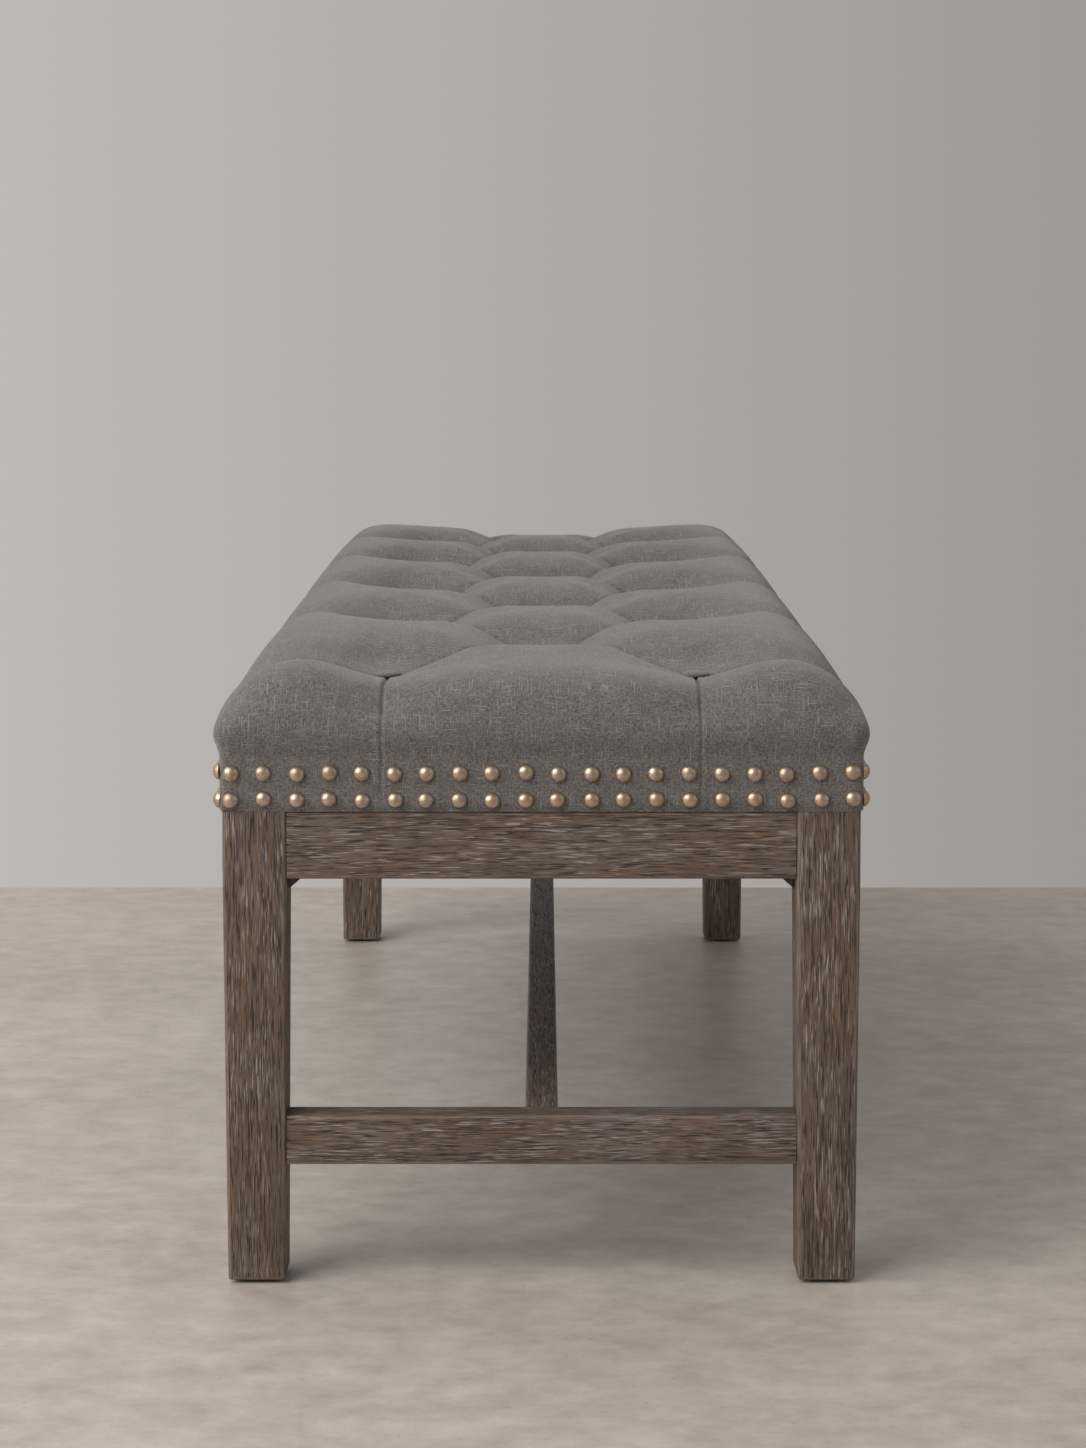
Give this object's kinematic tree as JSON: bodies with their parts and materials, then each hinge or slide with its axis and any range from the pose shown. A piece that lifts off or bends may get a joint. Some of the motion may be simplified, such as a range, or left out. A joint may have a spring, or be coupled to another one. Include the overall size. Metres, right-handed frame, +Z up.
{
  "type": "upholstered bench",
  "caption": "Long bench: diamond-tufted grey linen seat with a nailed band, on a dark wooden base of square tapering legs, aprons and an H-shaped stretcher.",
  "frame": {"origin": "on the floor at the middle of the bench", "axes": "X across the bench, Y along it, Z up; the end seen in the picture is at -Y"},
  "size_m": [0.4768, 1.3368, 0.4694],
  "materials": {
    "weathered_oak": "wire-brushed, limed grey-brown, matt",
    "frame_wood": "plain sawn softwood",
    "linen_cover": "woven slubby linen",
    "linen_buttons": "same linen over button moulds",
    "foam": "open-cell cushion foam",
    "twine": "waxed twine",
    "dust_cloth": "thin black non-woven cloth",
    "antique_nails": "aged, satin",
    "zinc_screws": "zinc plated",
    "felt_glides": "brown nylon"
  },
  "bodies": {
    "root": {"corner_brace_far_left": "frame_wood", "corner_brace_far_right": "frame_wood", "corner_brace_near_left": "frame_wood", "corner_brace_near_right": "frame_wood", "deck_slat_01": "frame_wood", "deck_slat_02": "frame_wood", "deck_slat_03": "frame_wood", "deck_slat_04": "frame_wood", "deck_slat_05": "frame_wood", "deck_slat_06": "frame_wood", "deck_slat_07": "frame_wood", "deck_slat_08": "frame_wood", "deck_slat_09": "frame_wood", "deck_slat_10": "frame_wood", "deck_slat_11": "frame_wood", "deck_slat_12": "frame_wood", "dust_cloth": "dust_cloth", "end_apron_far": "weathered_oak", "end_apron_near": "weathered_oak", "end_glue_block_far_left": "frame_wood", "end_glue_block_far_right": "frame_wood", "end_glue_block_near_left": "frame_wood", "end_glue_block_near_right": "frame_wood", "end_stretcher_far": "weathered_oak", "end_stretcher_near": "weathered_oak", "foam_slab": "foam", "foot_glides": "felt_glides", "leg_far_left": "weathered_oak", "leg_far_right": "weathered_oak", "leg_near_left": "weathered_oak", "leg_near_right": "weathered_oak", "long_stretcher": "weathered_oak", "nails_far_end": "antique_nails", "nails_left_side": "antique_nails", "nails_near_end": "antique_nails", "nails_right_side": "antique_nails", "seat_frame_keys": "frame_wood", "seat_rail_far": "frame_wood", "seat_rail_left": "frame_wood", "seat_rail_near": "frame_wood", "seat_rail_right": "frame_wood", "seat_screws": "zinc_screws", "side_apron_left": "weathered_oak", "side_apron_right": "weathered_oak", "side_glue_block_far_left": "frame_wood", "side_glue_block_far_right": "frame_wood", "side_glue_block_near_left": "frame_wood", "side_glue_block_near_right": "frame_wood", "tuft_buttons": "linen_buttons", "tufted_cover": "linen_cover", "tufting_twine": "twine", "twine_toggles": "frame_wood"}
  },
  "joints": []
}
